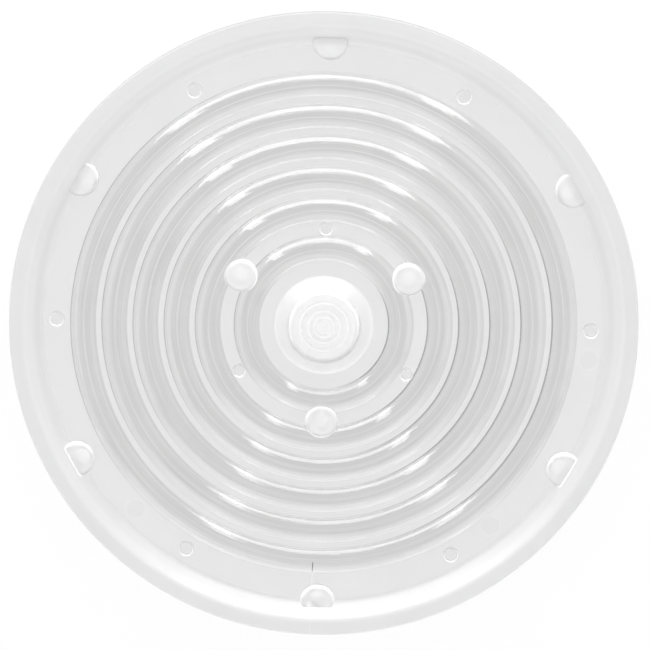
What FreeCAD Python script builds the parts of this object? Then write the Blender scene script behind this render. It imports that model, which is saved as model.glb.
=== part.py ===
import FreeCAD, Part
import math
import os
import Sketcher

# Clear moulded lens for a round high bay lamp: one dished plate with ring lenses on its light-exit side,
# channels for the rows of LEDs on its back, domes over the board's screws and a raised clamping flange.
# The back face lies on z = 0, the optical axis is Z and light leaves towards +Z.
doc = FreeCAD.newDocument("HighBayLens")

sizes = {
    "outerDiameter": 280.0,
    "plateThickness": 2.6,
    "flangeThickness": 2.6,
    "rimRise": 7.5,
    "flangeWidth": 7.2,
    "wallRun": 6.6,
    "wallWidth": 3.3,
    "wallFootRound": 4.0,
    "wallTopRound": 4.0,
    "flangeUnderRound": 3.5,
    "flangeEdgeRound": 1.2,
    "capRadius": 15.3,
    "capRun": 6.4,
    "capRise": 7.0,
    "capWidth": 3.3,
    "capRoof": 2.6,
    "capRound": 3.0,
    "capUnderRound": 3.0,
    "backEdgeRound": 4.0,
    "innerRingGap": 12.8,
    "screwBandWidth": 17.4,
    "lastRingInset": 18.7,
    "outerRingCount": 5,
    "ringGap": 3.0,
    "ringCrown": 2.8,
    "ringFootRound": 0.8,
    "channelMouth": 6.6,
    "channelRoof": 3.0,
    "channelShoulder": 1.2,
    "channelCrown": 0.3,
    "innerDomeFoot": 7.4,
    "rimDomeFoot": 8.0,
    "domeDraft": 0.8,
    "innerDomeRise": 3.2,
    "rimDomeRise": 2.6,
    "domeRound": 1.6,
    "pocketWall": 1.8,
    "pocketRoof": 2.4,
    "innerDomeAngle": 30.0,
    "innerDomeCount": 3,
    "rimPocketInset": 2.4,
    "rimDomeAngle": 30.0,
    "rimDomeCount": 6,
    "markDepth": 0.4,
    "markSlope": 0.6,
    "outerMarkInset": 6.9,
    "outerMarkFloor": 2.8,
    "outerMarkAngle": 0.0,
    "outerMarkCount": 6,
    "innerMarkFloor": 2.4,
    "innerMarkAngle": 90.0,
    "innerMarkCount": 3,
}

sheet = doc.addObject("Spreadsheet::Sheet", "Sizes")
for row, (name, value) in enumerate(sizes.items(), start=1):
    sheet.set(f"A{row}", name)
    sheet.set(f"B{row}", str(value))
    sheet.setAlias(f"B{row}", name)
doc.recompute()

# Heights that several features share, as expressions on the sheet
back = "0"
face = "Sizes.plateThickness"
flangeTop = "(Sizes.plateThickness + Sizes.rimRise)"
flangeUnder = f"({flangeTop} - Sizes.flangeThickness)"
capTop = "(Sizes.plateThickness + Sizes.capRise)"
capUnder = f"({capTop} - Sizes.capRoof)"

# Radii of the rim, from the outside inwards
outerRadius = "(Sizes.outerDiameter / 2)"
wallTopRadius = f"({outerRadius} - Sizes.flangeWidth)"
wallFootRadius = f"({wallTopRadius} - Sizes.wallRun)"
wallLean = "(Sizes.wallRun / Sizes.rimRise)"
wallBackFoot = f"({wallFootRadius} + Sizes.wallWidth - Sizes.plateThickness * {wallLean})"
wallBackTop = f"({wallTopRadius} + Sizes.wallWidth - Sizes.flangeThickness * {wallLean})"
rimPocketRadius = f"({wallFootRadius} - Sizes.rimPocketInset)"
outerMarkRadius = f"({wallFootRadius} - Sizes.outerMarkInset)"

# Radii of the cap and of the lens over the inner row of LEDs, from the middle outwards
capFootRadius = "(Sizes.capRadius + Sizes.capRun)"
capLean = "(Sizes.capRun / Sizes.capRise)"
capBackFoot = f"({capFootRadius} - Sizes.capWidth + Sizes.plateThickness * {capLean})"
capBackTop = f"(Sizes.capRadius - Sizes.capWidth + Sizes.capRoof * {capLean})"
innerRingRadius = f"({capFootRadius} + Sizes.innerRingGap)"
screwCircleRadius = f"({innerRingRadius} + Sizes.screwBandWidth / 2)"

# The outer rows share the room between the band of screws and the outer flat
firstRingRadius = f"({innerRingRadius} + Sizes.screwBandWidth)"
lastRingRadius = f"({wallFootRadius} - Sizes.lastRingInset)"
ringPitch = f"(({lastRingRadius} - {firstRingRadius}) / (Sizes.outerRingCount - 1))"
ringWidth = f"({ringPitch} - Sizes.ringGap)"
ringCentres = [innerRingRadius] + [
    f"({firstRingRadius} + {turn} * {ringPitch})" for turn in range(int(sheet.outerRingCount))
]

# The pockets behind the screw domes fit between the channels
pocketRadius = "((Sizes.screwBandWidth - Sizes.channelMouth) / 2 - Sizes.pocketWall)"

body = doc.addObject("PartDesign::Body", "lens")
body.Label = "lens"


def number(expression):
    """The value of an expression on the sheet."""
    return float(sheet.evalExpression(expression))


def originFeature(role):
    return next(feature for feature in body.Origin.OriginFeatures if feature.Role == role)


def radialSketch(name, angle=None):
    """A sketch in the plane of the optical axis, x along the radius, turned to an angle of the sheet."""
    sketch = body.newObject("Sketcher::SketchObject", name)
    sketch.AttachmentSupport = [(originFeature("XZ_Plane"), "")]
    sketch.MapMode = "FlatFace"
    if angle:
        upright = FreeCAD.Rotation(FreeCAD.Vector(0, 1, 0), 45)
        sketch.AttachmentOffset = FreeCAD.Placement(FreeCAD.Vector(), upright)
        sketch.setExpression(".AttachmentOffset.Rotation.Angle", angle)
    return sketch


def arcRadius(start, finish, rise):
    """The radius of the arc between two corners that rises above its chord."""
    chord = f"(({finish[0]} - {start[0]}) ^ 2 + ({finish[1]} - {start[1]}) ^ 2)"
    return f"(({chord} / 4 + {rise} ^ 2) / (2 * {rise}))"


def pin(sketch, side, end, corner):
    """Holds one end of a side at a radius and a height, both expressions; "0" puts it on that axis."""
    for kind, axis, expression in (("DistanceX", -2, corner[0]), ("DistanceY", -1, corner[1])):
        if expression == "0":
            sketch.addConstraint(Sketcher.Constraint("PointOnObject", side, end, axis))
        else:
            size = Sketcher.Constraint(kind, -1, 1, side, end, number(expression))
            sketch.setExpression(f"Constraints[{sketch.addConstraint(size)}]", expression)


def outline(sketch, corners, rises=None):
    """A closed loop through pinned corners. rises gives the height of the arc on each curved side."""
    rises = rises or {}
    first = sketch.GeometryCount
    places = [FreeCAD.Vector(number(radius), number(height), 0) for radius, height in corners]
    for side, start in enumerate(places):
        finish = places[(side + 1) % len(places)]
        if side in rises:
            chord = finish - start
            left = FreeCAD.Vector(-chord.y, chord.x, 0).normalize()
            shape = Part.Arc(start, (start + finish) / 2 + left * number(rises[side]), finish)
        else:
            shape = Part.LineSegment(start, finish)
        sketch.addGeometry(shape, False)
    # An arc is stored anticlockwise, so one that bulges to the left is walked from its second end.
    ends = [(2, 1) if side in rises else (1, 2) for side in range(len(corners))]
    for side, corner in enumerate(corners):
        following = (side + 1) % len(corners)
        join = Sketcher.Constraint(
            "Coincident", first + side, ends[side][1], first + following, ends[following][0]
        )
        sketch.addConstraint(join)
        pin(sketch, first + side, ends[side][0], corner)
        if side in rises:
            radius = arcRadius(corners[side], corners[following], rises[side])
            size = Sketcher.Constraint("Radius", first + side, number(radius))
            sketch.setExpression(f"Constraints[{sketch.addConstraint(size)}]", radius)


def turned(kind, name, sketch, axis=None):
    """Material added or cut by turning a sketch about the optical axis, or about one of its own sides."""
    volume = body.Tip.Shape.Volume if body.Tip else 0.0
    feature = body.newObject(f"PartDesign::{kind}", name)
    feature.Profile = sketch
    feature.ReferenceAxis = axis or (originFeature("Z_Axis"), [""])
    feature.Angle = 360.0
    doc.recompute()
    change = feature.Shape.Volume - volume
    if (change > 0) != (kind == "Revolution"):
        raise ValueError(f"{name} changed the volume by {change:.1f} mm3")
    print(f"{name}: {change:+.0f} mm3")
    return feature


def repeated(name, feature, count):
    """Copies of a feature spaced evenly about the optical axis."""
    pattern = body.newObject("PartDesign::PolarPattern", name)
    pattern.Originals = [feature]
    pattern.Axis = (originFeature("Z_Axis"), [""])
    pattern.Angle = 360.0
    pattern.setExpression("Occurrences", count)
    body.Tip = pattern
    doc.recompute()
    print(f"{name}: {pattern.Shape.Volume - feature.Shape.Volume:+.0f} mm3")
    return pattern


def rounded(name, circles, radius):
    """Rounds the circular edges that have the given radii and heights."""
    base = body.Tip
    edges = []
    for circleRadius, height in circles:
        for index, edge in enumerate(base.Shape.Edges, start=1):
            if not isinstance(edge.Curve, Part.Circle):
                continue
            sameRadius = math.isclose(edge.Curve.Radius, number(circleRadius), abs_tol=1e-4)
            if sameRadius and math.isclose(edge.Curve.Center.z, number(height), abs_tol=1e-4):
                edges.append(f"Edge{index}")
    if len(edges) < len(circles):
        raise ValueError(f"{name} found {len(edges)} edges for {len(circles)} circles")
    fillet = body.newObject("PartDesign::Fillet", name)
    fillet.Base = (base, edges)
    fillet.setExpression("Radius", radius)
    doc.recompute()
    return fillet


# The light-exit side as a solid down to the back plane: cap, plate, dished wall and flange
faceOutline = radialSketch("FaceOutline")
outline(
    faceOutline,
    [
        ("0", back),
        ("0", capTop),
        ("Sizes.capRadius", capTop),
        (capFootRadius, face),
        (wallFootRadius, face),
        (wallTopRadius, flangeTop),
        (outerRadius, flangeTop),
        (outerRadius, back),
    ],
)
turned("Revolution", "FaceForm", faceOutline)
rounded("FlangeEdge", [(outerRadius, flangeTop)], "Sizes.flangeEdgeRound")
rounded("WallFoot", [(wallFootRadius, face)], "Sizes.wallFootRound")
rounded("WallTop", [(wallTopRadius, flangeTop)], "Sizes.wallTopRound")
rounded("CapEdges", [("Sizes.capRadius", capTop), (capFootRadius, face)], "Sizes.capRound")

# Crowned ring lenses, one over each row of LEDs
ringOutline = radialSketch("RingOutline")
for centre in ringCentres:
    outline(
        ringOutline,
        [
            (f"({centre} - {ringWidth} / 2)", face),
            (f"({centre} + {ringWidth} / 2)", face),
            (f"({centre} + {ringWidth} / 2)", "(Sizes.plateThickness / 2)"),
            (f"({centre} - {ringWidth} / 2)", "(Sizes.plateThickness / 2)"),
        ],
        {0: "Sizes.ringCrown"},
    )
turned("Revolution", "RingLenses", ringOutline)
ringFeet = [(f"({centre} {side} {ringWidth} / 2)", face) for centre in ringCentres for side in "-+"]
rounded("RingFeet", ringFeet, "Sizes.ringFootRound")


def screwDome(name, centre, foot, rise, angle, count):
    """Drafted domes with a rounded top edge, each over the head of one of the board's screws."""
    sketch = radialSketch(f"{name}Outline", angle)
    top = f"(Sizes.plateThickness + {rise})"
    edge = f"({centre} + {foot} - Sizes.domeDraft)"
    lean = f"(Sizes.domeDraft / {rise})"
    slope = f"sqrt(1 + {lean} ^ 2)"
    trim = f"(Sizes.domeRound * ({slope} - {lean}))"
    outline(
        sketch,
        [
            (centre, "(Sizes.plateThickness / 2)"),
            (centre, top),
            (f"({edge} - {trim})", top),
            (f"({edge} + {trim} * {lean} / {slope})", f"({top} - {trim} / {slope})"),
            (f"({centre} + {foot})", face),
            (f"({centre} + {foot})", "(Sizes.plateThickness / 2)"),
        ],
        {2: f"(Sizes.domeRound * (1 - sqrt((1 + {lean} / {slope}) / 2)))"},
    )
    dome = turned("Revolution", name, sketch, (sketch, ["Edge1"]))
    repeated(f"{name}s", dome, count)


screwDome(
    "InnerDome", screwCircleRadius, "Sizes.innerDomeFoot", "Sizes.innerDomeRise",
    "Sizes.innerDomeAngle", "Sizes.innerDomeCount"
)
screwDome(
    "RimDome", wallFootRadius, "Sizes.rimDomeFoot", "Sizes.rimDomeRise",
    "Sizes.rimDomeAngle", "Sizes.rimDomeCount"
)

# The back of the dished wall and the underside of the flange
rimBackOutline = radialSketch("RimBackOutline")
outline(
    rimBackOutline,
    [
        (wallBackFoot, back),
        (wallBackTop, flangeUnder),
        (f"({outerRadius} + Sizes.flangeThickness)", flangeUnder),
        (f"({outerRadius} + Sizes.flangeThickness)", back),
    ],
)
turned("Groove", "RimBack", rimBackOutline)
rounded("FlangeUnder", [(wallBackTop, flangeUnder)], "Sizes.flangeUnderRound")

# The hollow behind the cap, with room for the board's terminal
capBackOutline = radialSketch("CapBackOutline")
outline(capBackOutline, [("0", back), ("0", capUnder), (capBackTop, capUnder), (capBackFoot, back)])
turned("Groove", "CapBack", capBackOutline)
rounded("CapUnder", [(capBackTop, capUnder)], "Sizes.capUnderRound")
rounded("BackEdges", [(wallBackFoot, back), (capBackFoot, back)], "Sizes.backEdgeRound")

# Arched channels behind the ring lenses, in which the LEDs sit
channelOutline = radialSketch("ChannelOutline")
for centre in ringCentres:
    outline(
        channelOutline,
        [
            (f"({centre} - Sizes.channelRoof / 2)", "Sizes.channelShoulder"),
            (f"({centre} + Sizes.channelRoof / 2)", "Sizes.channelShoulder"),
            (f"({centre} + Sizes.channelMouth / 2)", back),
            (f"({centre} - Sizes.channelMouth / 2)", back),
        ],
        {0: "Sizes.channelCrown"},
    )
turned("Groove", "Channels", channelOutline)


def screwPocket(name, centre, rise, angle, count):
    """Round pockets behind the domes, with room for the screw heads."""
    sketch = radialSketch(f"{name}Outline", angle)
    roof = f"(Sizes.plateThickness + {rise} - Sizes.pocketRoof)"
    wall = f"({centre} + {pocketRadius})"
    outline(sketch, [(centre, back), (centre, roof), (wall, roof), (wall, back)])
    pocket = turned("Groove", name, sketch, (sketch, ["Edge1"]))
    repeated(f"{name}s", pocket, count)


screwPocket(
    "InnerPocket", screwCircleRadius, "Sizes.innerDomeRise", "Sizes.innerDomeAngle", "Sizes.innerDomeCount"
)
screwPocket("RimPocket", rimPocketRadius, "Sizes.rimDomeRise", "Sizes.rimDomeAngle", "Sizes.rimDomeCount")


def ejectorMark(name, centre, floor, angle, count):
    """Shallow dished marks that the mould's ejector pins leave on the face."""
    sketch = radialSketch(f"{name}Outline", angle)
    sunk = f"({face} - Sizes.markDepth)"
    outline(
        sketch,
        [
            (centre, sunk),
            (centre, face),
            (f"({centre} + {floor} + Sizes.markSlope)", face),
            (f"({centre} + {floor})", sunk),
        ],
    )
    mark = turned("Groove", name, sketch, (sketch, ["Edge1"]))
    repeated(f"{name}s", mark, count)


ejectorMark(
    "OuterMark", outerMarkRadius, "Sizes.outerMarkFloor", "Sizes.outerMarkAngle", "Sizes.outerMarkCount"
)
ejectorMark(
    "InnerMark", screwCircleRadius, "Sizes.innerMarkFloor", "Sizes.innerMarkAngle", "Sizes.innerMarkCount"
)

doc.recompute()
for item in doc.Objects:
    if "Invalid" in item.State or "Error" in item.State:
        raise ValueError(f"{item.Name} failed: {item.State}")
if body.Shape.isNull() or not body.Shape.isValid() or len(body.Shape.Solids) != 1:
    raise ValueError("the lens isn't one valid solid")

os.makedirs("parts", exist_ok=True)
body.Shape.exportStep(f"parts/{body.Label}.step")
print(f"{body.Label}: {body.Shape.Volume / 1000:.1f} cm3, {body.Shape.BoundBox}")
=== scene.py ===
import math

import bmesh
import bpy
from mathutils import Matrix, Vector


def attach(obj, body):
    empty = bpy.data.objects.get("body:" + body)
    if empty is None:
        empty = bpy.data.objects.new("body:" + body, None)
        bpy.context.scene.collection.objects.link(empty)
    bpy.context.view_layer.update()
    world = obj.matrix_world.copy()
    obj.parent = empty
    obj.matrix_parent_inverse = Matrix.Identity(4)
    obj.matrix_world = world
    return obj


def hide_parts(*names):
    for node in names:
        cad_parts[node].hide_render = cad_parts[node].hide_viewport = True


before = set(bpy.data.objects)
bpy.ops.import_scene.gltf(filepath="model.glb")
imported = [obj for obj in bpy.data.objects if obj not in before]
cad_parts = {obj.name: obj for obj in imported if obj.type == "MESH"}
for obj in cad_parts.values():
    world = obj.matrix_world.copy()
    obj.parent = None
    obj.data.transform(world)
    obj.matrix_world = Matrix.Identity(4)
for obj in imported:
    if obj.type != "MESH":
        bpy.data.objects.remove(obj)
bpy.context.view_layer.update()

mm = 0.001

# sizes in mm, heights from the flat back
lens = {
    "outerRadius": 139.98,  # a hair inside the solid's 140
    "plate": 2.6,
    "flange": 2.6,
    "flangeWidth": 7.2,
    "flangeEdgeRound": 1.2,
    "flangeUnderRound": 3.5,
    "rimRise": 7.5,
    "wallRun": 6.6,
    "wallWidth": 3.3,  # across the wall, along the radius
    "wallFootRound": 4.0,
    "wallTopRound": 4.0,
    "wallBackStart": 5.0,  # how far inside the wall's foot its back starts
    "capRadius": 15.3,
    "capRun": 6.4,
    "capRise": 7.0,
    "capWidth": 3.3,
    "capRoof": 2.6,
    "capRound": 3.0,
    "capUnderRound": 3.0,
    "capBackEnd": 3.0,
    "backEdgeRound": 4.0,
    "ringRadii": (34.5, 51.9, 65.8, 79.7, 93.6, 107.5),
    "ringWidth": 10.9,
    "ringCrown": 2.8,
    "ringFootRound": 0.8,
    "channelMouth": 6.6,
    "channelRoof": 3.0,
    "channelShoulder": 1.2,
    "channelCrown": 0.3,
    "cutOver": 1.0,  # how far a cut starts outside the form
}
domes = {
    "innerFoot": 7.4,
    "rimFoot": 8.0,
    "draft": 0.8,
    "innerRise": 3.2,
    "rimRise": 2.6,
    "edgeRound": 1.6,
    "pocketRadius": 3.6,
    "pocketRoof": 2.4,
    "pocketRound": 0.2,
    "innerCircle": 43.2,
    "innerCount": 3,
    "rimCircle": 126.2,
    "rimPocketInset": 2.4,
    "rimCount": 6,
    "firstAngle": 30.0,
}
marks = {
    "depth": 0.4,
    "slope": 0.6,
    "cutOver": 0.5,
    "outerCircle": 119.3,
    "outerFloor": 2.8,
    "outerCount": 6,
    "outerAngle": 0.0,
    "innerCircle": 43.2,
    "innerFloor": 2.4,
    "innerCount": 3,
    "innerAngle": 90.0,
}
mesh = {
    "turnSteps": 272,
    "smallTurnSteps": 48,
    "arcDegrees": 8.0,  # one straight piece of an arc turns by about this
    "sharpDegrees": 28.0,
    "mergeDistance": 1e-7,
}


def arcBetween(start, finish, rise):
    # points of the arc that bulges to the left of the walk from start to finish, without its ends
    chord = finish - start
    left = Vector((-chord.y, chord.x)).normalized()
    radius = (chord.length_squared / 4 + rise ** 2) / (2 * rise)
    centre = (start + finish) / 2 + left * (rise - radius)
    half = math.asin(chord.length / 2 / radius)
    steps = max(2, math.ceil(math.degrees(2 * half) / mesh["arcDegrees"]))
    points = []
    for step in range(1, steps):
        angle = half - 2 * half * step / steps
        points.append(centre + Matrix.Rotation(angle, 2) @ left * radius)
    return points


def roundedLoop(corners):
    # corners are (radius, height) or (radius, height, round); the rounds become arcs
    places = [Vector(corner[:2]) for corner in corners]
    path = []
    for index, corner in enumerate(corners):
        here = places[index]
        size = corner[2] if len(corner) > 2 else 0
        if not size:
            path.append(here)
            continue
        back = (places[index - 1] - here).normalized()
        on = (places[(index + 1) % len(places)] - here).normalized()
        opening = back.angle(on)
        reach = size / math.tan(opening / 2)
        centre = here + (back + on).normalized() * size / math.sin(opening / 2)
        spoke = here + back * reach - centre
        sweep = math.pi - opening
        if back.cross(on) > 0:
            sweep = -sweep
        steps = max(2, math.ceil(math.degrees(abs(sweep)) / mesh["arcDegrees"]))
        for step in range(steps + 1):
            path.append(centre + Matrix.Rotation(sweep * step / steps, 2) @ spoke)
    return path


def turnedSolid(bm, loops, steps):
    # closed outlines turned about the upright axis in one spin
    drawn = []
    for loop in loops:
        made = [bm.verts.new((point.x * mm, 0, point.y * mm)) for point in loop]
        drawn += made
        for here, following in zip(made, made[1:] + made[:1]):
            drawn.append(bm.edges.new((here, following)))
    bmesh.ops.spin(
        bm, geom=drawn, cent=(0, 0, 0), axis=(0, 0, 1), dvec=(0, 0, 0),
        angle=2 * math.pi, steps=steps, use_merge=True, use_normal_flip=False, use_duplicate=False,
    )


def closeSeams(bm):
    # merges the seam and the poles, and drops the edges that lay on the axis
    bmesh.ops.remove_doubles(bm, verts=bm.verts, dist=mesh["mergeDistance"])
    loose = [edge for edge in bm.edges if not edge.link_faces]
    bmesh.ops.delete(bm, geom=loose, context="EDGES")


def finishMesh(bm, name):
    closeSeams(bm)
    bmesh.ops.recalc_face_normals(bm, faces=bm.faces)
    data = bpy.data.meshes.new(name)
    bm.to_mesh(data)
    bm.free()
    piece = bpy.data.objects.new(name, data)
    bpy.context.collection.objects.link(piece)
    return piece


def turnedPiece(name, loops, steps):
    bm = bmesh.new()
    turnedSolid(bm, loops, steps)
    return finishMesh(bm, name)


def aroundAxis(name, loop, circle, firstAngle, count, steps):
    # copies of a small turned form, spaced evenly on a circle
    bm = bmesh.new()
    for turn in range(count):
        small = bmesh.new()
        turnedSolid(small, [loop], steps)
        closeSeams(small)
        angle = math.radians(firstAngle + 360 * turn / count)
        place = Matrix.Rotation(angle, 4, "Z") @ Matrix.Translation((circle * mm, 0, 0))
        small.transform(place)
        held = bpy.data.meshes.new(name)
        small.to_mesh(held)
        small.free()
        bm.from_mesh(held)
        bpy.data.meshes.remove(held)
    return finishMesh(bm, name)


def combine(piece, tool, operation):
    # joins or cuts one closed form with another and keeps the result
    step = piece.modifiers.new(operation, "BOOLEAN")
    step.operation = operation
    step.solver = "MANIFOLD"
    step.object = tool
    shown = piece.evaluated_get(bpy.context.evaluated_depsgraph_get())
    result = bpy.data.meshes.new_from_object(shown)
    piece.modifiers.clear()
    old = piece.data
    piece.data = result
    bpy.data.meshes.remove(old)
    bpy.data.objects.remove(tool)


wallTop = lens["outerRadius"] - lens["flangeWidth"]
wallFoot = wallTop - lens["wallRun"]
capFoot = lens["capRadius"] + lens["capRun"]


def faceOutline():
    # half the section's front, from the middle of the cap to the rim, closed along the floor
    plate = lens["plate"]
    top = plate + lens["rimRise"]
    capTop = plate + lens["capRise"]
    corners = [
        (0, capTop),
        (lens["capRadius"], capTop, lens["capRound"]),
        (capFoot, plate, lens["capRound"]),
    ]
    for radius in lens["ringRadii"]:
        start = Vector((radius - lens["ringWidth"] / 2, plate))
        finish = Vector((radius + lens["ringWidth"] / 2, plate))
        corners.append((*start, lens["ringFootRound"]))
        corners += [tuple(point) for point in arcBetween(start, finish, lens["ringCrown"])]
        corners.append((*finish, lens["ringFootRound"]))
    corners += [
        (wallFoot, plate, lens["wallFootRound"]),
        (wallTop, top, lens["wallTopRound"]),
        (lens["outerRadius"], top, lens["flangeEdgeRound"]),
        (lens["outerRadius"], 0),
        (0, 0),
    ]
    return roundedLoop(corners)


def channelOutline(radius):
    # the hollow over a row of lights: sloped sides and a slightly arched roof
    over = lens["cutOver"]
    shoulder = lens["channelShoulder"]
    roof = lens["channelRoof"] / 2
    mouth = lens["channelMouth"] / 2
    mouth += (mouth - roof) * over / shoulder
    left = Vector((radius - roof, shoulder))
    right = Vector((radius + roof, shoulder))
    loop = [left] + arcBetween(left, right, lens["channelCrown"]) + [right]
    return loop + [Vector((radius + mouth, -over)), Vector((radius - mouth, -over))]


def backOutlines():
    # what is cut from behind: outside the wall, under the cap, and a channel behind each ring
    over = lens["cutOver"]
    wallLean = lens["wallRun"] / lens["rimRise"]
    capLean = lens["capRun"] / lens["capRise"]
    flangeUnder = lens["plate"] + lens["rimRise"] - lens["flange"]
    capUnder = lens["plate"] + lens["capRise"] - lens["capRoof"]
    rim = [
        (wallFoot - lens["wallBackStart"], -over),
        (wallFoot - lens["wallBackStart"], 0),
        (wallFoot + lens["wallWidth"] - lens["plate"] * wallLean, 0, lens["backEdgeRound"]),
        (wallTop + lens["wallWidth"] - lens["flange"] * wallLean, flangeUnder, lens["flangeUnderRound"]),
        (lens["outerRadius"] + over, flangeUnder),
        (lens["outerRadius"] + over, -over),
    ]
    cap = [
        (0, -over),
        (0, capUnder),
        (lens["capRadius"] - lens["capWidth"] + lens["capRoof"] * capLean, capUnder, lens["capUnderRound"]),
        (capFoot - lens["capWidth"] + lens["plate"] * capLean, 0, lens["backEdgeRound"]),
        (capFoot + lens["capBackEnd"], 0),
        (capFoot + lens["capBackEnd"], -over),
    ]
    return [roundedLoop(rim), roundedLoop(cap)] + [channelOutline(radius) for radius in lens["ringRadii"]]


def domeOutline(kind):
    face = lens["plate"]
    foot = domes[kind + "Foot"]
    top = face + domes[kind + "Rise"]
    return roundedLoop([
        (0, face / 2), (0, top), (foot - domes["draft"], top, domes["edgeRound"]),
        (foot, face), (foot, face / 2),
    ])


def pocketOutline(kind):
    under = -lens["cutOver"]
    radius = domes["pocketRadius"]
    roof = lens["plate"] + domes[kind + "Rise"] - domes["pocketRoof"]
    return roundedLoop([(0, under), (0, roof), (radius, roof, domes["pocketRound"]), (radius, under)])


def markOutline(kind):
    # the shallow sink that an ejector pin leaves, wider towards the front
    floor = marks[kind + "Floor"]
    low = lens["plate"] - marks["depth"]
    high = lens["plate"] + marks["cutOver"]
    wide = floor + marks["slope"] * (marks["depth"] + marks["cutOver"]) / marks["depth"]
    return [Vector((0, high)), Vector((0, low)), Vector((floor, low)), Vector((wide, high))]


def lensPiece():
    steps = mesh["turnSteps"]
    small = mesh["smallTurnSteps"]
    body = turnedPiece("clear_lens", [faceOutline()], steps)
    for kind in ("inner", "rim"):
        circle = domes[kind + "Circle"]
        count = domes[kind + "Count"]
        tool = aroundAxis("domes", domeOutline(kind), circle, domes["firstAngle"], count, small)
        combine(body, tool, "UNION")
    combine(body, turnedPiece("backs", backOutlines(), steps), "DIFFERENCE")
    for kind, inset in (("inner", 0), ("rim", domes["rimPocketInset"])):
        circle = domes[kind + "Circle"] - inset
        count = domes[kind + "Count"]
        tool = aroundAxis("pockets", pocketOutline(kind), circle, domes["firstAngle"], count, small)
        combine(body, tool, "DIFFERENCE")
    for kind in ("outer", "inner"):
        circle = marks[kind + "Circle"]
        count = marks[kind + "Count"]
        tool = aroundAxis("marks", markOutline(kind), circle, marks[kind + "Angle"], count, small)
        combine(body, tool, "DIFFERENCE")
    data = body.data
    data.name = "clear_lens"
    data.materials.clear()
    data.materials.append(clearPlastic())
    data.polygons.foreach_set("material_index", [0] * len(data.polygons))
    data.polygons.foreach_set("use_smooth", [True] * len(data.polygons))
    data.set_sharp_from_angle(angle=math.radians(mesh["sharpDegrees"]))
    return body


class Value:
    # a socket that takes part in plain arithmetic
    def __init__(self, shader, socket):
        self.shader, self.socket = shader, socket

    def math(self, operation, *others):
        return self.shader.node("ShaderNodeMath", {"operation": operation}, self, *others)[0]

    def __add__(self, other):
        return self.math("ADD", other)

    __radd__ = __add__

    def __mul__(self, other):
        return self.math("MULTIPLY", other)

    __rmul__ = __mul__

    def __sub__(self, other):
        return self.math("SUBTRACT", other)

    def __rsub__(self, other):
        return self * -1 + other


class Shader:
    def __init__(self, name):
        self.material = bpy.data.materials.new(name)
        self.material.use_nodes = True
        self.tree = self.material.node_tree
        self.tree.nodes.clear()

    def node(self, kind, settings, *values, **named):
        # any other node: settings are its attributes, values and named fill its sockets
        made = self.tree.nodes.new(kind)
        for setting, value in settings.items():
            setattr(made, setting, value)
        for key, value in list(enumerate(values)) + list(named.items()):
            socket = made.inputs[key if isinstance(key, int) else key.replace("_", " ")]
            if isinstance(value, Value):
                self.tree.links.new(value.socket, socket)
            elif value is not None:
                socket.default_value = value
        return [Value(self, socket) for socket in made.outputs]

    def ramp(self, value, low, high):
        # 0 below low and 1 above high, smooth between; falls instead where low is the larger
        return self.node("ShaderNodeMapRange", {"interpolation_type": "SMOOTHSTEP"}, value, low, high)[0]

    def fade(self, value, edge, ends):
        # a ramp that starts and finishes at these distances from an edge
        return self.ramp(value, edge + ends[0], edge + ends[1])

    def band(self, value, centre, half, soft):
        # 1 within half of the centre, fading over soft
        away = (value - centre).math("ABSOLUTE")
        return self.ramp(away, half + soft, half)

    def noise(self, across, along, up, detail):
        # smooth noise round 0, from -0.5 to 0.5
        place = self.node("ShaderNodeCombineXYZ", {}, across, along, up)[0]
        made = self.node(
            "ShaderNodeTexNoise", {"noise_dimensions": "3D"}, Vector=place, Scale=1.0, Detail=detail,
        )
        return made[0] - 0.5


# tones are shares of the light let through, lengths are in mm, and ends are where a fade is 0 and 1
plastic = {
    "ior": 1.586,
    "flatTone": 0.87,
    # painted shade: the ring bands are darker than the flats
    "ringShadeTone": 0.70,
    "ringReach": 1.2,  # how far beyond its edges a ring's tones and painted shade go
    "outerShadeTone": 0.77,  # painted shade on the outer third of a ring, lighter than on the rest of the band
    "outerEnds": (1.8, 3.2),
    "paintedLightTone": 0.9,  # painted light on the side of a ring that faces away from the main lamp
    "paintedLightEnds": (0.35, 0.95),  # cosines of the way round
    "paintedLightMiddle": 0.5,
    # painted shade: a thin dark line along each ring's feet
    "footShadeTone": 0.78,
    "footOffset": 0.05,
    "sideShadeTone": 0.3,  # painted shade: the foot line is darker on the side of the rings that faces this way round
    "sideShadeAngle": 160.0,
    "sideShadeEnds": (0.45, 0.95),  # cosines of the way round
    "sideShadeInner": 1.0,  # the strength at the inner and outer foot of a ring
    "sideShadeOuter": 0.6,
    "crestLines": (-0.4, -4.6),  # from the middle of a ring, outwards
    "crestTone": 0.08,
    "lineHalf": 0.1,
    "lineSoft": 0.25,
    # painted shade over the wall and flange, and painted light in a band high on the wall
    "wallShadeTone": 0.85,
    "wallLightTone": 0.92,
    "wallLightInset": 1.0,
    "wallLightHalf": 1.5,
    "matteTone": 0.98,
    "flatRoughness": 0.06,
    "ringRoughness": 0.03,
    "matteRoughness": 0.4,
    "streakTone": 0.18,
    "streakBump": 0.05,
    "streakWidth": 0.55,
    "streakLength": 40.0,
    "streakDetail": 3.0,
    "cloudTone": 0.05,
    "cloudSize": 30.0,
    "cloudDetail": 2.0,
}
# where a mask is 0 and where it is 1, in mm outwards from the edge of its form
fades = {
    "front": (0.05, 0.15),  # here the upright part of the surface's normal
    "ring": (0.1, -0.2),
    "cap": (1.0, -0.5),
    "plateau": (0.5, -1.5),
    "dome": (0.3, -0.2),
    "domeTop": (0.0, -1.0),
    "domeCut": (2.9, 2.3),
    "chord": (0.0, -0.5),
    "wall": (-2.0, 0.0),
    # painted shade in the floors of the ejector marks
    "sunk": (0.0, -0.4),
    "ghost": (0.0, -0.6),
    "gate": (0.7, 0.3),
}
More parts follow.
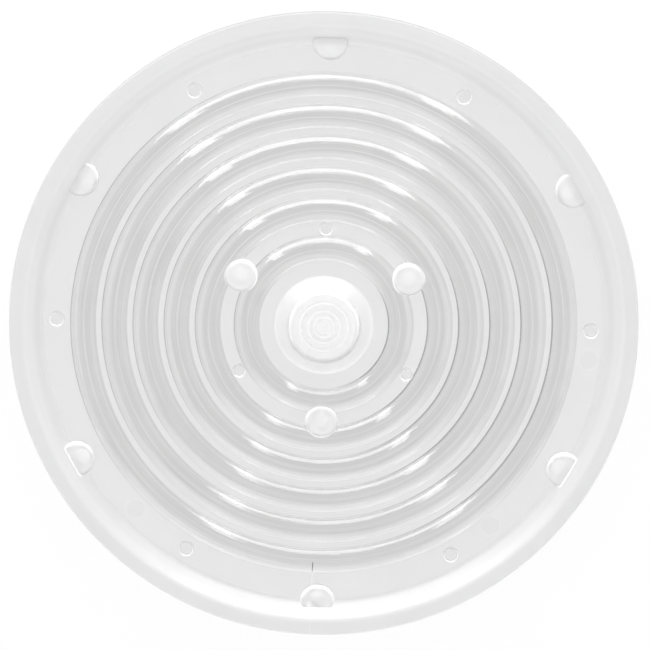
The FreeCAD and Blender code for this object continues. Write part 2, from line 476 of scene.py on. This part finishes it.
# frosted parts: the share of each that is white and scatters, and its lines in mm; the lines round the domes
# and the ejector marks are painted highlights
frost = {
    "tone": 0.9,
    "roughness": 0.7,
    "domeTop": 0.3,
    # painted highlights: white matte lines round the dome edges and along the D chords
    "domeHighlight": 0.8,
    "domeHighlightInset": 0.45,
    "domeHighlightHalf": 0.2,
    "domeHighlightSoft": 0.35,
    "chordSoft": 0.3,
    # painted highlights: white matte rings round the ejector marks
    "markHighlight": 0.45,
    "markHighlightOffset": 0.3,
    "markHighlightHalf": 0.2,
    "plateau": 0.2,
    "gateMark": 0.6,
    "turned": 1.0,
    "turnedRings": (15.2, 10.7, 7.1, 4.5, 2.7, 1.3),
    "turnedHalf": 0.25,
    "turnedGroove": (0.3, 0.2, 0.1),  # the part of a turned line's edge that is darker
    "turnedTone": 0.4,
    "soft": 0.3,
}
knit = {
    "angle": 268.7,
    "start": 107.0,
    "fadeIn": 1.0,
    "half": 0.25,
    "core": 0.1,
    "tone": 0.08,
    "crackStart": 108.0,
    "crackFinish": 111.6,
    "crackHalf": 0.3,
    "crackTone": 0.35,
    "crackSoft": 0.3,
}
ghosts = {
    "radius": 4.5,
    "line": 0.25,
    "soft": 0.3,
    "tone": 0.015,
    "places": ((119.4, -6.3), (118.2, -49.3), (119.0, -134.0)),
}


def clearPlastic():
    shader = Shader("clear_plastic")
    coordinates = shader.node("ShaderNodeTexCoord", {})
    upright = shader.node("ShaderNodeSeparateXYZ", {}, coordinates[1])[2]
    across, along, _ = shader.node("ShaderNodeSeparateXYZ", {}, coordinates[3])
    across = across * (1 / mm)
    along = along * (1 / mm)
    radius = (across * across + along * along).math("SQRT")

    def distance(circle, degrees):
        # from a point on a circle round the axis
        angle = math.radians(degrees)
        aside = across - circle * math.cos(angle)
        ahead = along - circle * math.sin(angle)
        return (aside * aside + ahead * ahead).math("SQRT")

    def spaced(form, kind, first):
        # the distance from each copy of a form
        count = form[kind + "Count"]
        return [distance(form[kind + "Circle"], first + 360 * turn / count) for turn in range(count)]

    def towards(degrees):
        # how far a spot lies along a direction
        angle = math.radians(degrees)
        return across * math.cos(angle) + along * math.sin(angle)

    # the rings: offset is from the middle of the nearest one, outwards
    half = lens["ringWidth"] / 2
    near = 0
    offset = 0
    for centre in lens["ringRadii"]:
        within = radius.math("COMPARE", centre, half + plastic["ringReach"])
        near = near + within
        offset = offset + within * (radius - centre)
    side = offset.math("ABSOLUTE")
    sign = offset.math("SIGN")

    # the matte forms, and the white matte lines round their edges that are painted highlights
    matte = shader.fade(radius, capFoot, fades["cap"])
    plateau = shader.fade(radius, lens["capRadius"], fades["plateau"])
    domeCut = shader.fade(radius, wallFoot, fades["domeCut"])
    chordHighlight = shader.band(radius, wallFoot + fades["domeCut"][1], frost["domeHighlightHalf"], frost["chordSoft"])
    domeHighlight = 0
    domeTop = 0
    for kind in ("inner", "rim"):
        foot = domes[kind + "Foot"]
        edge = foot - frost["domeHighlightInset"]
        for away in spaced(domes, kind, domes["firstAngle"]):
            matte = matte.math("MAXIMUM", shader.fade(away, foot, fades["dome"]))
            line = shader.band(away, edge, frost["domeHighlightHalf"], frost["domeHighlightSoft"])
            if kind == "rim":
                line = (line * domeCut).math("MAXIMUM", chordHighlight * shader.fade(away, foot, fades["chord"]))
            domeHighlight = line + domeHighlight
            domeTop = shader.fade(away, foot, fades["domeTop"]) + domeTop
    wall = shader.fade(radius, wallFoot, fades["wall"])
    rough = matte.math("MAXIMUM", wall)
    ring = near * shader.fade(side, half, fades["ring"]) * (1 - rough)
    # where the painted shade line along the ring feet goes
    foot = near * (1 - rough)
    foot = foot * shader.band(side, half + plastic["footOffset"], plastic["lineHalf"], plastic["lineSoft"])

    # small marks: the white matte rings round the ejector marks are painted highlights, and their floors get
    # a little painted shade
    markHighlight = 0
    sunk = 0
    for kind in ("outer", "inner"):
        floor = marks[kind + "Floor"]
        edge = floor + frost["markHighlightOffset"]
        for away in spaced(marks, kind, marks[kind + "Angle"]):
            markHighlight = markHighlight + shader.band(away, edge, frost["markHighlightHalf"], frost["soft"])
            sunk = sunk + shader.fade(away, floor, fades["sunk"])
    turned = 0
    for size in frost["turnedRings"]:
        turned = turned + shader.band(radius, size, frost["turnedHalf"], frost["soft"])
    gate = shader.fade(radius, 0, fades["gate"])
    beside = towards(knit["angle"] - 90).math("ABSOLUTE")
    outwards = towards(knit["angle"])
    middle = (knit["crackStart"] + knit["crackFinish"]) / 2
    reach = (knit["crackFinish"] - knit["crackStart"]) / 2
    crack = shader.ramp(beside, knit["crackHalf"], knit["core"])
    crack = crack * shader.band(outwards, middle, reach, knit["crackSoft"])
    knitLine = shader.ramp(beside, knit["half"], knit["core"]) * (1 - crack)
    knitLine = knitLine * shader.fade(outwards, knit["start"], (0, knit["fadeIn"]))
    ghost = 0
    for place in ghosts["places"]:
        away = distance(*place)
        ghost = ghost + shader.band(away, ghosts["radius"], ghosts["line"], ghosts["soft"])
        ghost = ghost - shader.fade(away, ghosts["radius"], fades["ghost"])

    # turned streaks along the rings and soft clouds all over
    stretch = 1 / plastic["streakLength"]
    streak = shader.noise(
        radius * (1 / plastic["streakWidth"]), across * stretch, along * stretch, plastic["streakDetail"],
    )
    spread = 1 / plastic["cloudSize"]
    cloud = shader.noise(across * spread, along * spread, 0.0, plastic["cloudDetail"])

    # which way a ring's side faces, for the painted light on the side of each ring away from the main lamp
    # and the painted shade line on the feet that face one way round
    outer = sign * radius.math("POWER", -1.0)
    lit = shader.ramp(outer * along * -1, *plastic["paintedLightEnds"]) * shader.ramp(side, plastic["paintedLightMiddle"], half)
    sideShade = shader.ramp(outer * towards(plastic["sideShadeAngle"]), *plastic["sideShadeEnds"])
    sideShadeMean = (plastic["sideShadeInner"] + plastic["sideShadeOuter"]) / 2
    sideShade = sideShade * (sideShadeMean - sign * (plastic["sideShadeInner"] - sideShadeMean))

    # painted shade over each ring band, lighter over its outer third, varied by streaks and crest lines
    body = plastic["ringShadeTone"] - plastic["flatTone"] + streak * plastic["streakTone"]
    body = body + shader.ramp(offset, *plastic["outerEnds"]) * (plastic["outerShadeTone"] - plastic["ringShadeTone"])
    # painted light on the side of each ring away from the main lamp
    body = body + lit * (plastic["paintedLightTone"] - plastic["outerShadeTone"])
    for place in plastic["crestLines"]:
        crest = shader.band(offset, place, plastic["lineHalf"], plastic["lineSoft"])
        body = body + crest * plastic["crestTone"]
    # painted shade line at the ring feet, darkest on the feet that face one way round
    footShadeTone = plastic["footShadeTone"] - plastic["flatTone"] + sideShade * (plastic["sideShadeTone"] - plastic["footShadeTone"])
    # painted light in a band high on the wall; the wall and flange get painted shade
    high = shader.band(
        radius, wallTop - plastic["wallLightInset"], plastic["wallLightHalf"], plastic["wallLightHalf"],
    )
    tone = plastic["flatTone"] + ring * body + foot * footShadeTone
    tone = tone + wall * (plastic["wallShadeTone"] - plastic["flatTone"])
    tone = tone + high * (plastic["wallLightTone"] - plastic["wallShadeTone"])
    tone = tone + matte * (1 - wall) * (plastic["matteTone"] - plastic["flatTone"])
    # the ejector mark floors get a little painted shade
    tone = tone + cloud * plastic["cloudTone"] + (ghost - sunk) * ghosts["tone"]
    tone = tone + crack * (knit["crackTone"] - plastic["flatTone"]) + knitLine * knit["tone"]
    tone = tone - plateau * shader.band(turned, *frost["turnedGroove"]) * frost["turnedTone"]
    color = shader.node("ShaderNodeCombineColor", {}, tone, tone, tone)[0]
    roughness = plastic["flatRoughness"] + ring * (plastic["ringRoughness"] - plastic["flatRoughness"])
    roughness = roughness + rough * (plastic["matteRoughness"] - plastic["flatRoughness"])
    bump = shader.node(
        "ShaderNodeBump", {}, Strength=1.0, Distance=plastic["streakBump"] * mm, Height=ring * streak,
    )[0]
    clear = shader.node(
        "ShaderNodeBsdfPrincipled", {}, Base_Color=color, Roughness=roughness,
        IOR=plastic["ior"], Normal=bump, Transmission_Weight=1.0,
    )[0]
    white = (frost["tone"], frost["tone"], frost["tone"], 1)
    dull = shader.node(
        "ShaderNodeBsdfPrincipled", {}, white, Roughness=frost["roughness"], IOR=plastic["ior"],
    )[0]
    scatter = plateau * frost["plateau"]
    # the dome and mark lines here are painted highlights
    for share, mask in (
        ("domeTop", domeTop * domeCut), ("domeHighlight", domeHighlight), ("markHighlight", markHighlight),
        ("turned", turned), ("gateMark", gate),
    ):
        scatter = scatter.math("MAXIMUM", mask * frost[share])
    scatter = scatter * shader.ramp(upright, *fades["front"])
    surface = shader.node("ShaderNodeMixShader", {}, scatter, clear, dull)[0]
    shader.node("ShaderNodeOutputMaterial", {}, surface)
    return shader.material


print("lens")
clearLens = lensPiece()
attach(clearLens, "root")
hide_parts("lens")
print("lens faces", len(clearLens.data.polygons))

studio = {
    "cameraDistance": 1.5535,
    "cameraLean": 8.0,
    "turn": 1.35,
    "focal": 192.7,
    "sensor": 36.0,
    "cameraSight": 20.0,
    "imageMiddle": 325.0,
    "axisPixel": (323.8, 325.05),  # where the lens's axis stands in the picture
    "pixelSize": 0.4464,
    "floorHalf": 4.0,
    "floorGap": 0.0002,
    "floorColor": (0.95, 0.95, 0.95, 1),
    "whiteSeen": 0.94,
    "whiteThrough": 0.88,
    "world": 0.4,
    "lampDistance": 1.2,
    # each lamp: strength, azimuth and half width, lowest and highest elevation in degrees
    "lamps": {
        "softbox": (4.4, 94.0, 39.5, 2.0, 42.0),
        "strip_left": (3.2, 130.0, 3.5, 2.0, 58.0),
        "strip_right": (3.2, 58.0, 3.5, 2.0, 58.0),
        "side_left": (0.6, 174.0, 36.0, 2.0, 42.0),
        "side_right": (0.6, 14.0, 36.0, 2.0, 42.0),
        "fill": (0.7, 272.0, 42.0, 4.0, 50.0),
    },
}


def floorPaper():
    # white paper: seen white, by itself or through the lens, with part of its real light and shadow kept
    shader = Shader("floor_paper")
    path = shader.node("ShaderNodeLightPath", {})
    seen = path[0] * studio["whiteSeen"] + path[3] * studio["whiteThrough"]
    lit = shader.node("ShaderNodeBsdfDiffuse", {}, studio["floorColor"])[0]
    white = shader.node("ShaderNodeEmission", {}, (1, 1, 1, 1), 1.0)[0]
    surface = shader.node("ShaderNodeMixShader", {}, seen, lit, white)[0]
    shader.node("ShaderNodeOutputMaterial", {}, surface)
    return shader.material


def floorPiece():
    bm = bmesh.new()
    bmesh.ops.create_grid(bm, x_segments=1, y_segments=1, size=studio["floorHalf"])
    bm.transform(Matrix.Translation((0, 0, -studio["floorGap"])))
    piece = finishMesh(bm, "floor")
    piece.data.materials.append(floorPaper())


def softLamp(name, strength, azimuth, half, low, high):
    # an area lamp that fills a patch of the sky, as the lens sees it
    low = math.radians(low)
    high = math.radians(high)
    middle = (low + high) / 2
    azimuth = math.radians(azimuth + studio["turn"])
    distance = studio["lampDistance"]
    lamp = bpy.data.lights.new(name, "AREA")
    lamp.shape = "RECTANGLE"
    lamp.size = 2 * distance * math.tan(math.radians(half))
    lamp.size_y = 2 * distance * math.tan((high - low) / 2)
    lamp.energy = strength * lamp.size * lamp.size_y * math.pi
    holder = bpy.data.objects.new(name, lamp)
    level = math.cos(middle)
    towards = Vector((level * math.cos(azimuth), level * math.sin(azimuth), math.sin(middle)))
    holder.location = towards * distance
    holder.rotation_euler = towards.to_track_quat("Z", "Y").to_euler()
    bpy.context.collection.objects.link(holder)


def surroundings():
    world = bpy.data.worlds.new("studio")
    world.use_nodes = True
    shade = world.node_tree.nodes["Background"]
    shade.inputs["Color"].default_value = (1, 1, 1, 1)
    shade.inputs["Strength"].default_value = studio["world"]
    bpy.context.scene.world = world


def camera():
    lean = math.radians(studio["cameraLean"])
    turn = Matrix.Rotation(math.radians(studio["turn"]), 3, "Z")
    axis = turn @ Vector((0, math.sin(lean), math.cos(lean)))
    up = turn @ Vector((0, math.cos(lean), -math.sin(lean)))
    right = up.cross(axis)
    pixel = studio["pixelSize"] * mm
    aside = (studio["imageMiddle"] - studio["axisPixel"][0]) * pixel
    above = (studio["axisPixel"][1] - studio["imageMiddle"]) * pixel
    aim = Vector((0, 0, lens["plate"] * mm)) + right * aside + up * above
    data = bpy.data.cameras.new("camera")
    data.lens = studio["focal"]
    data.sensor_width = studio["sensor"]
    data.clip_end = studio["cameraSight"]
    holder = bpy.data.objects.new("camera", data)
    place = Matrix((right, up, axis)).transposed().to_4x4()
    place.translation = aim + axis * studio["cameraDistance"]
    holder.matrix_world = place
    bpy.context.collection.objects.link(holder)
    bpy.context.scene.camera = holder


print("studio")
floorPiece()
for lampName, lampValues in studio["lamps"].items():
    softLamp(lampName, *lampValues)
surroundings()
camera()
bpy.context.scene.view_settings.view_transform = "Standard"
bpy.context.scene.cycles.blur_glossy = 0  # keeps the highlights seen through the plastic sharp

bpy.context.view_layer.update()
print("done")
